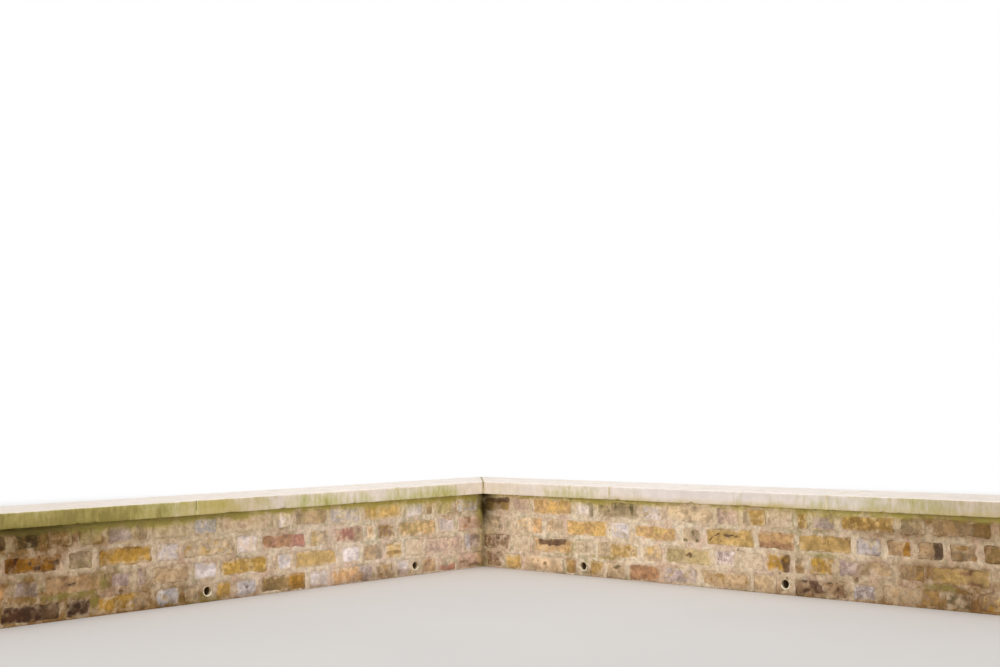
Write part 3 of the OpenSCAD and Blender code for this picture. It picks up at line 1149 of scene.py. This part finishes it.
def inside_bricks(spans_of, along_face, z, corner=0.014):
    """How far each point of a face lies inside its brick; less than 0 in a joint.

    The bricks count as rounded at their corners, by the radius corner.
    """
    best = np.full(len(z), -1.0)
    for course in COURSES:
        bottom = (course - 1) * GAUGE
        upright = np.minimum(z - bottom, bottom + BRICK_H - z)
        starts, ends = np.array(spans_of(course)).T
        lengthwise = np.minimum(along_face[:, None] - starts, ends - along_face[:, None])
        lengthwise = lengthwise.max(axis=1)
        rounded = corner - np.hypot(
            np.maximum(corner - upright, 0), np.maximum(corner - lengthwise, 0)
        )
        inside = np.where(rounded < corner, rounded, np.minimum(upright, lengthwise))
        best = np.maximum(best, inside)
    return best


def mortar_relief(settings, side, face, along_face, z, points):
    """How far the mortar stands out from a face of the wall, and where painted shade lies in its
    washed-out hollows and along its edge on a brick.
    """
    rows = {
        "front": lambda course: [span[:2] for span in front_row(side, course)],
        "rear": lambda course: rear_row(side, course),
        "end": lambda course: end_row(side, course),
    }
    inside = inside_bricks(rows[face], along_face, z)
    lap = settings.smear + 0.0040 * lumps(points, 0.06, 11) + 0.0040 * lumps(points, 0.018, 12)
    lap += 0.010 * rise(lumps(points, 0.10, 13), 0.35, 0.9)
    if face == "front":
        lap += 0.0025 * rise(points[:, 0] - HALF_T, 1.4, 1.7)
    relief = np.clip(0.6 * (lap - inside), -0.009, settings.proud)
    relief += 0.0006 * lumps(points, 0.03, 14) + 0.0004 * lumps(points, 0.011, 15)
    # Hollows where sand has washed out, which the material paints dark as shade
    holes = rise(lumps(points, 0.014, 16), 0.5, 0.8) * rise(lumps(points, 0.09, 17), -0.2, 0.5)
    holes *= rise(inside, 0.008, 0.0)
    # Painted shade along the line where the mortar ends on a brick
    seams = rise(np.abs(inside - lap), 0.0045, 0.0) * rise(lumps(points, 0.03, 18), 0.1, 0.6)
    return relief - 0.0028 * holes, holes, seams


class WALL_OT_fill_mortar(Operator):
    """Fills the joints with mortar that laps over the edges of the bricks."""

    bl_idname = "garden_wall.fill_mortar"
    bl_label = "Fill the joints"

    def execute(self, context):
        wall = context.scene.garden_wall
        material = mortar_finish(wall.mortar)
        for side in SIDES:
            part = self.body(wall.mortar, side)
            nodes = [f"{side}_bed_{n}" for n in COURSES]
            nodes += [f"{side}_weep_surround_{n}" for n in (1, 2)]
            piece(f"{side}_mortar", side, [part], material, "mortar", *nodes)
        return {"FINISHED"}

    def body(self, settings, side):
        """The mortar of a wing as a part, with a passage for each weep pipe."""
        hole = PIPE_R - PIPE_LAP
        start = -HALF_T if side == "right" else HALF_T - RUN_IN
        lines, blocks = self.ruling(settings.step, side, start, hole)
        flat = [(2, 0), (2, 1)] + ([(0, 0)] if side == "left" else [])
        points, quads, flats = lattice(lines, flat, blocks)
        s, a, z = points.T
        faces = [
            ("front", a < -HALF_T + TINY, -1, 1),
            ("rear", a > HALF_T - TINY, 1, 1),
            ("end", s > WING_END[side] - TINY, 1, 0),
        ]
        if side == "right":
            faces.append(("start", s < start + TINY, -1, 0))
        self.round_off(points, side, hole)
        moved = points.copy()
        holes, seams = np.zeros((2, len(points)))
        for face, here, sign, axis in faces:
            along_face = {"front": s, "rear": s, "end": a, "start": -a}[face][here]
            # The face at the outer corner carries on the left wing's rear
            whose, kind = ("left", "rear") if face == "start" else (side, face)
            relief, hole_shade, seam = mortar_relief(
                settings, whose, kind, along_face, z[here], points[here]
            )
            relief -= 0.0022 * rise(self.from_pipe(points[here], side), 0.014, 0.002)
            if face == "end":
                relief = np.minimum(relief - 0.0012, -0.0006)
            moved[here, axis] += sign * relief
            holes[here] = np.maximum(holes[here], hole_shade)
            seams[here] = np.maximum(seams[here], seam)
        if side == "left":
            buried = rise(s, HALF_T + 0.004, HALF_T - RUN_IN)
            moved[:, 1] -= 0.003 * buried * np.sign(a)
        moved[:, 2] = np.clip(moved[:, 2], 0.0, WALL_TOP)
        marks = {
            "weather": weather(side, points, 1.0, True), "bloom": bloom(side, points),
            "holes": holes, "seams": seams,
        }
        return moved, quads, flats, marks

    @staticmethod
    def ruling(step, side, start, hole):
        """Lines along the three axes, about a step apart, and the blocks where the pipes run."""
        stops = [start]
        for weep in WEEPS[side]:
            stops += [weep - hole, weep + hole]
        stops.append(WING_END[side])
        cells = max(2, round(2 * hole / step))
        below = round((WEEP_Z - hole) / step)
        above = round((WALL_TOP - WEEP_Z - hole) / step)
        s_lines, blocks = [np.array([start])], []
        for number, (near, far) in enumerate(zip(stops, stops[1:])):
            at_pipe = number % 2 == 1
            count = cells if at_pipe else round((far - near) / step)
            first = sum(len(line) for line in s_lines) - 1
            s_lines.append(np.linspace(near, far, count + 1)[1:])
            if at_pipe:
                blocks.append((first, first + count, below, below + cells))
        z_lines = np.concatenate([
            np.linspace(0, WEEP_Z - hole, below + 1),
            np.linspace(WEEP_Z - hole, WEEP_Z + hole, cells + 1)[1:],
            np.linspace(WEEP_Z + hole, WALL_TOP, above + 1)[1:],
        ])
        a_lines = np.arange(-HALF_T, HALF_T + step / 2, 2 * HALF_T / MORTAR_DEPTH_CELLS)
        return (np.concatenate(s_lines), a_lines, z_lines), blocks

    @staticmethod
    def from_pipe(points, side):
        """Distance of each point from the outside of the nearest pipe, seen from the front."""
        z = points[:, 2] - WEEP_Z
        return np.min([np.hypot(points[:, 0] - weep, z) for weep in WEEPS[side]], axis=0) - PIPE_R

    @staticmethod
    def round_off(points, side, hole):
        """Draws the square passages round, and the points about them with it."""
        for weep in WEEPS[side]:
            offset = points[:, [0, 2]] - (weep, WEEP_Z)
            square = np.abs(offset).max(axis=1)
            circle = np.maximum(np.hypot(*offset.T), 1e-9)
            share = rise(square, hole, 2 * hole)
            scale = hole / circle * (1 - share) + share
            near = (square > hole - TINY) & (square < 2 * hole)
            points[near, 0] = weep + offset[near, 0] * scale[near]
            points[near, 2] = WEEP_Z + offset[near, 1] * scale[near]


# Coping


def stroke(start, end, step):
    """Points from start towards end, without the last one."""
    start, end = np.array(start), np.array(end)
    count = max(1, round(np.linalg.norm(end - start) / step))
    return start + (end - start) * np.linspace(0, 1, count + 1)[:-1, None]


def bow(centre, radius, start, end, count):
    """Points on an arc from one angle to another, in degrees, without the last one."""
    turns = np.radians(np.linspace(start, end, count + 1)[:-1])
    return np.array(centre) + radius * np.stack([np.cos(turns), np.sin(turns)], -1)


def coping_outline(settings, back=0.0):
    """Across a coping stone: up the front, over the top and back under the drip grooves."""
    half, top = COPING_HALF - back, COPING_TOP - back
    soft, low_soft = settings.arris, 0.0018
    groove, inset = settings.groove / 2, settings.inset
    under = WALL_TOP
    right = np.concatenate([
        stroke((0.0, top), (half - soft, top), 0.009),
        bow((half - soft, top - soft), soft, 90, 0, 4),
        stroke((half, top - soft), (half, under + low_soft), 0.0045),
        bow((half - low_soft, under + low_soft), low_soft, 0, -90, 2),
        stroke((half - low_soft, under), (COPING_HALF - inset + groove, under), 0.007),
        bow((COPING_HALF - inset, under), groove, 0, 180, 7),
        stroke((COPING_HALF - inset - groove, under), (HALF_T - 0.012, under), 0.007),
        [(HALF_T - 0.012, under)],
    ])
    left = right[1:][::-1] * (-1, 1)
    return np.concatenate([left, right])


def outline_normals(outline):
    """Outward directions of a closed outline that runs up the front and over the top."""
    ahead = np.roll(outline, -1, 0) - np.roll(outline, 1, 0)
    out = np.stack([-ahead[:, 1], ahead[:, 0]], -1)
    return out / np.linalg.norm(out, axis=1)[:, None]


def coping_part(settings, side, start, end, mitred):
    """One stone as a part, with its start mitred at the corner."""
    outline = coping_outline(settings)
    size, length = len(outline), end - start
    first = COPING_JOINT / math.sqrt(2) - outline[:, 0] if mitred else np.full(size, start)
    shares = ruled(0.0, 1.0, settings.step / length, 0.0025 / length)
    rings = [np.column_stack([first + (end - first) * share, outline]) for share in shares]
    points = np.concatenate(rings)
    out = np.column_stack([np.zeros(size), outline_normals(outline)])
    away = np.tile(out, (len(shares), 1))
    top_corner = COPING_HALF - np.abs(points[:, 1]) + (COPING_TOP - points[:, 2])
    low_corner = COPING_HALF - np.abs(points[:, 1]) + (points[:, 2] - WALL_TOP)
    worn = rise(top_corner, 0.012, 0.0) * rise(lumps(points, 0.045, 21), 0.2, 0.8) * 0.0014
    worn += rise(low_corner, 0.010, 0.0) * rise(lumps(points, 0.03, 22), 0.35, 0.8) * 0.0026
    swell = 0.0004 + 0.0003 * lumps(points, 0.14, 23) + 0.00012 * lumps(points, 0.02, 24)
    # The ends are eased, so that a joint has worn edges too
    from_end = np.minimum(shares, 1 - shares) * length
    eased = np.repeat(rise(from_end, 0.0026, 0.0) * 0.0010, size)
    points = points - away * (np.maximum(swell, 0.0001) + worn + eased)[:, None]
    points[:, 2] = np.maximum(points[:, 2], WALL_TOP + 0.0001)
    points, quads, flats = sweep(points.reshape(len(shares), size, 3))
    s = points[:, 0].reshape(len(shares), size)
    beside = rise(np.abs(np.minimum(s - first, end - s)).ravel(), 0.012, 0.0)
    return points, quads, flats, coping_marks(side, points, beside)


def coping_marks(side, points, beside):
    """Growth, paleness and dirt on a stone. beside is how close a point is to a joint."""
    left, z = side == "left", points[:, 2]
    t = points[:, 0] - HALF_T
    facing = rise(-points[:, 1], COPING_HALF - 0.02, COPING_HALF - 0.004)
    amount = level(COPING_GROWTH[side], t)
    growth = amount * (0.25 + 0.75 * np.maximum(facing, 0.35))
    # It thins out towards the top, except where it is heavy and on a stretch of each wing
    stretch = rise(t, 1.05, 1.2) * rise(t, 1.6, 1.45) if left else rise(t, 1.5, 1.7)
    even = np.maximum(np.clip(2.5 * (amount - 0.55), 0, 1), stretch)
    thin = rise(z, COPING_TOP + 0.001, COPING_TOP - 0.01)
    thin *= 0.8 + 0.35 * rise(z, COPING_TOP - 0.012, WALL_TOP + 0.012)
    growth *= even * rise(z, COPING_TOP, COPING_TOP - 0.003) + (1 - even) * thin
    # A stain lies low on the face
    drift = lumps(points, 0.12, 25)
    # The top face, which gets painted light and less dirt
    upper = rise(z, COPING_TOP - 0.004, COPING_TOP - 0.001)
    if left:
        reach, share = 0.013, 0.14 + 0.44 * rise(t, 1.45, 1.9)
    else:
        reach = 0.013 + 0.011 * rise(t, 0.4, 0.8)
        share = 0.12 + 0.48 * rise(t, 0.4, 0.8) - 0.14 * rise(t, 1.3, 1.7)
    lower = rise(z + 0.002 * drift, WALL_TOP + reach, WALL_TOP - 0.002)
    lower *= np.clip(share + 0.4 * drift, 0, 1)
    if left:
        growth *= 1 - 0.3 * stretch * rise(z, WALL_TOP + 0.030, WALL_TOP + 0.008)
        lower = np.maximum(lower, stretch * (0.42 + 0.2 * drift) * (1 - upper))
    # The third channel of growth is the painted light on the top
    return {
        "growth": np.stack([growth, np.maximum(lower, 0.15 * beside), upper], -1),
        "pale": level(COPING_BLEACH[side], t) * (0.6 + 0.5 * rise(z, *BLEACHED_FROM)),
        "dirt": level(COPING_SOIL[side], t) * (1 - 0.7 * upper),
    }


class WALL_OT_set_coping(Operator):
    """Sets the coping stones, the two at the corner mitred."""

    bl_idname = "garden_wall.set_coping"
    bl_label = "Set the coping"

    def execute(self, context):
        coping = context.scene.garden_wall.coping
        material = coping_finish(coping)
        for side in SIDES:
            for name, (start, end) in zip(STONE_NAMES, STONES[side]):
                part = coping_part(coping, side, start, end, name == STONE_NAMES[0])
                piece(f"{side}_{name}_stone", side, [part], material, "coping_stone",
                      f"{side}_{name}")
        return {"FINISHED"}


class WALL_OT_point_coping(Operator):
    """Fills the joints between the coping stones."""

    bl_idname = "garden_wall.point_coping"
    bl_label = "Point the coping"

    def execute(self, context):
        coping = context.scene.garden_wall.coping
        material = joint_finish(coping)
        lap = 0.002
        half = COPING_JOINT / math.sqrt(2) + lap
        mitre = self.filler(coping, -half, half, 0.9, True, "right")
        piece("mitre_joint_mortar", "right", [mitre], material, "mortar", "mitre_joint")
        for side in SIDES:
            gaps = [(STONES[side][n][1], STONES[side][n + 1][0]) for n in (0, 1)]
            parts = [self.filler(coping, start - lap, end + lap, dark, False, side)
                     for (start, end), dark in zip(gaps, JOINT_SUNK[side])]
            piece(f"{side}_coping_joint_mortar", side, parts, material, "mortar",
                  f"{side}_coping_joints")
        return {"FINISHED"}

    def filler(self, settings, start, end, dark, mitred, side):
        """Mortar between two stones as a part, cracked dark along its middle at the top."""
        outline = coping_outline(settings, 0.0008)
        out = outline_normals(outline)
        across = np.linspace(-1, 1, 7)
        rings = []
        for share in across:
            s = (start + end + share * (end - start)) / 2
            along_ring = s - outline[:, 0] if mitred else np.full(len(outline), s)
            ring = np.column_stack([np.maximum(along_ring, 0.0014 - COPING_HALF), outline])
            rough = 0.0004 * lumps(ring, 0.012, 31) - 0.0004
            ring[:, 1:] += out * (rough - 0.0016 * dark * (1 - abs(share)))[:, None]
            ring[:, 2] = np.maximum(ring[:, 2], WALL_TOP)
            rings.append(ring)
        points, quads, flats = sweep(np.array(rings))
        crack = np.repeat(np.clip(1 - 1.6 * np.abs(across), 0, 1), len(outline))
        upper = rise(points[:, 2], WALL_TOP + 0.010, WALL_TOP + 0.022)
        marks = {
            "sunk": dark * crack * (0.3 + 0.7 * upper),
            "growth": level(COPING_GROWTH[side], points[:, 0] - HALF_T)
            * rise(points[:, 2], COPING_TOP - 0.002, COPING_TOP - 0.01),
        }
        return points, quads, flats, marks


# Weep pipes


class WALL_OT_fit_weep_pipes(Operator):
    """Fits the pipes that drain the ground behind the wall."""

    bl_idname = "garden_wall.fit_weep_pipes"
    bl_label = "Fit the weep pipes"

    def execute(self, context):
        pipe = context.scene.garden_wall.pipe
        material = pipe_finish(pipe)
        for side in SIDES:
            for number, weep in enumerate(WEEPS[side], 1):
                part = self.tube(pipe, weep, number)
                piece(f"{side}_weep_tube_{number}", side, [part], material, "weep_pipe",
                      f"{side}_weep_pipe_{number}")
        return {"FINISHED"}

    def tube(self, settings, weep, number):
        """A pipe through the wall, cut off by hand at both ends, as a part."""
        outer, inner, lip = PIPE_R, PIPE_R - settings.wall, 0.0008
        depths = np.linspace(HALF_T - 0.004, -HALF_T + 0.004, 17)
        outline = np.array(
            [(outer, HALF_T - lip)] + [(outer, a) for a in depths] + [(outer, -HALF_T + lip)]
            + [(outer - lip, -HALF_T), (inner + lip, -HALF_T), (inner, -HALF_T + lip)]
            + [(inner, a) for a in depths[::-1]]
            + [(inner, HALF_T - lip), (inner + lip, HALF_T), (outer - lip, HALF_T)]
        )
        rings = []
        for turn in np.linspace(0, 2 * math.pi, settings.sides, endpoint=False):
            radius, a = outline.T
            wobble = 0.0007 * math.sin(2 * turn + 3 * weep) + 0.0004 * math.sin(5 * turn + weep)
            cut = wobble * rise(np.abs(a), HALF_T - 0.006, HALF_T - 0.001)
            rings.append(np.column_stack([
                weep + radius * math.cos(turn), a - np.sign(a) * np.abs(cut) * 1.4,
                WEEP_Z + radius * math.sin(turn),
            ]))
        rings = np.array(rings)
        inside = np.tile(outline[:, 0] < outer - 0.5 * settings.wall, settings.sides)
        depth = HALF_T - np.abs(rings.reshape(-1, 3)[:, 1])
        points, quads, flats = sweep(rings, closed=True)
        # depth is how far a point lies inside the pipe, which the material paints darker as shade
        # and grime
        marks = {
            "depth": np.where(inside, rise(depth, 0.0, 0.030), 0.0),
            "smeared": rise(points[:, 2] - WEEP_Z, -0.010, 0.008),
        }
        return points, quads, flats, marks


# Stage

# Where each lamp hangs and its width and height, and the point that both shine at
LAMPS = {
    "front_lamp": ((8.0, -9.4, 2.2), (9.0, 4.0)),
    "top_lamp": ((1.1, -1.1, 5.0), (4.0, 4.0)),
}
LAMPS_AIM = (0.9, -0.9, 0.2)
# Radius of the floor's inner ring and of its rim, and the distances between which it fades
FLOOR_RINGS = (6.0, 60.0)
FLOOR_SIDES = 96
FLOOR_FADE = (3.4, 6.0)


class WALL_OT_set_stage(Operator):
    """Sets the camera, the soft light and the plain floor."""

    bl_idname = "garden_wall.set_stage"
    bl_label = "Set the stage"

    def execute(self, context):
        stage = context.scene.garden_wall.stage
        self.camera(context, stage)
        self.light(context, stage)
        self.floor(context, stage)
        context.scene.view_settings.view_transform = "Standard"
        return {"FINISHED"}

    def camera(self, context, stage):
        """The camera, turned by heading, pitch and roll."""
        data = bpy.data.cameras.new("camera")
        data.lens = stage.lens
        data.sensor_width = 36.0
        data.clip_start, data.clip_end = 0.05, 200.0
        camera = bpy.data.objects.new("camera", data)
        context.collection.objects.link(camera)
        ahead = Vector((
            math.cos(stage.heading) * math.cos(stage.pitch),
            math.sin(stage.heading) * math.cos(stage.pitch),
            math.sin(stage.pitch),
        ))
        level_right = ahead.cross(Vector((0, 0, 1))).normalized()
        level_up = level_right.cross(ahead)
        cos, sin = math.cos(stage.roll), math.sin(stage.roll)
        right = cos * level_right + sin * level_up
        up = -sin * level_right + cos * level_up
        turned = Matrix((right, up, -ahead)).transposed().to_4x4()
        camera.matrix_world = Matrix.Translation(Vector(stage.eye)) @ turned
        context.scene.camera = camera

    def light(self, context, stage):
        """An even white sky that shows as plain white, and two large lamps."""
        world = bpy.data.worlds.new("plain_sky")
        world.use_nodes = True
        nodes, links = world.node_tree.nodes, world.node_tree.links
        rays = nodes.new("ShaderNodeLightPath")
        seen = rays.outputs["Is Camera Ray"]
        for ray in ("Is Glossy Ray", "Is Transmission Ray"):
            either = nodes.new("ShaderNodeMath")
            either.operation = "MAXIMUM"
            links.new(seen, either.inputs[0])
            links.new(rays.outputs[ray], either.inputs[1])
            seen = either.outputs[0]
        strength = nodes.new("ShaderNodeMapRange")
        links.new(seen, strength.inputs["Value"])
        strength.inputs["To Min"].default_value = stage.sky
        strength.inputs["To Max"].default_value = 1.0
        background = nodes["Background"]
        background.inputs["Color"].default_value = (1.0, 1.0, 1.0, 1.0)
        links.new(strength.outputs["Result"], background.inputs["Strength"])
        context.scene.world = world
        for name, (place, size) in LAMPS.items():
            data = bpy.data.lights.new(name, "AREA")
            data.shape = "RECTANGLE"
            data.size, data.size_y = size
            data.energy = getattr(stage, name)
            lamp = bpy.data.objects.new(name, data)
            context.collection.objects.link(lamp)
            lamp.location = place
            lamp.rotation_mode = "QUATERNION"
            ahead = Vector(LAMPS_AIM) - lamp.location
            lamp.rotation_quaternion = ahead.to_track_quat("-Z", "Y")

    def floor(self, context, stage):
        """A wide round floor that fades into the white round it."""
        mesh = bpy.data.meshes.new("floor")
        turns = np.linspace(0, 2 * math.pi, FLOOR_SIDES, endpoint=False)
        points = [(0.0, 0.0, 0.0)]
        for radius in FLOOR_RINGS:
            points += [(radius * math.cos(turn), radius * math.sin(turn), 0.0) for turn in turns]
        sides = [(n, n % FLOOR_SIDES + 1) for n in range(1, FLOOR_SIDES + 1)]
        faces = [(0, n, after) for n, after in sides]
        faces += [(n, FLOOR_SIDES + n, FLOOR_SIDES + after, after) for n, after in sides]
        mesh.from_pydata(points, [], faces)
        finish = Finish("plain_floor", 0.9, 0.1)
        soft = finish.ramp(finish.noise(0.5, 2, 0.5), 0.3, 0.7, 0.0, 0.25)
        colour = finish.mix(soft, stage.floor, stage.floor_light)
        finish.feed(finish.shader.inputs["Base Color"], colour)
        apart = finish.add("VectorMath", [(0, finish.place)], operation="LENGTH").outputs["Value"]
        white = finish.add("Emission", [("Color", (1.0, 1.0, 1.0)), ("Strength", 1.0)])
        rays = finish.add("LightPath").outputs["Is Camera Ray"]
        share = finish.product(finish.ramp(apart, *FLOOR_FADE), rays)
        fade = finish.add("MixShader", [
            (0, share), (1, finish.shader.outputs[0]), (2, white.outputs[0]),
        ])
        output = finish.nodes["Material Output"]
        finish.links.new(fade.outputs[0], output.inputs["Surface"])
        mesh.materials.append(finish.material)
        obj = bpy.data.objects.new("floor", mesh)
        context.collection.objects.link(obj)


# Panel and registration


class WALL_PT_garden_wall(Panel):
    """Lists the pieces of the wall and their settings."""

    bl_idname = "WALL_PT_garden_wall"
    bl_label = "Garden wall"
    bl_space_type = "VIEW_3D"
    bl_region_type = "UI"
    bl_category = "Garden wall"

    def draw(self, context):
        wall = context.scene.garden_wall
        groups = (
            (wall.brick, ("garden_wall.lay_bricks",)),
            (wall.mortar, ("garden_wall.fill_mortar",)),
            (wall.coping, ("garden_wall.set_coping", "garden_wall.point_coping")),
            (wall.pipe, ("garden_wall.fit_weep_pipes",)),
            (wall.stage, ("garden_wall.set_stage",)),
        )
        for settings, operators in groups:
            box = self.layout.box()
            for operator in operators:
                box.operator(operator)
            for name in settings.__annotations__:
                box.prop(settings, name)


CLASSES = (
    BrickSettings,
    MortarSettings,
    CopingSettings,
    PipeSettings,
    StageSettings,
    WallSettings,
    WALL_OT_lay_bricks,
    WALL_OT_fill_mortar,
    WALL_OT_set_coping,
    WALL_OT_point_coping,
    WALL_OT_fit_weep_pipes,
    WALL_OT_set_stage,
    WALL_PT_garden_wall,
)


def register():
    for cls in CLASSES:
        bpy.utils.register_class(cls)
    bpy.types.Scene.garden_wall = PointerProperty(type=WallSettings)


def unregister():
    del bpy.types.Scene.garden_wall
    for cls in reversed(CLASSES):
        bpy.utils.unregister_class(cls)


def main():
    register()
    bpy.ops.garden_wall.lay_bricks()
    bpy.ops.garden_wall.fill_mortar()
    bpy.ops.garden_wall.set_coping()
    bpy.ops.garden_wall.point_coping()
    bpy.ops.garden_wall.fit_weep_pipes()
    bpy.ops.garden_wall.set_stage()


if __name__ == "__main__":
    main()
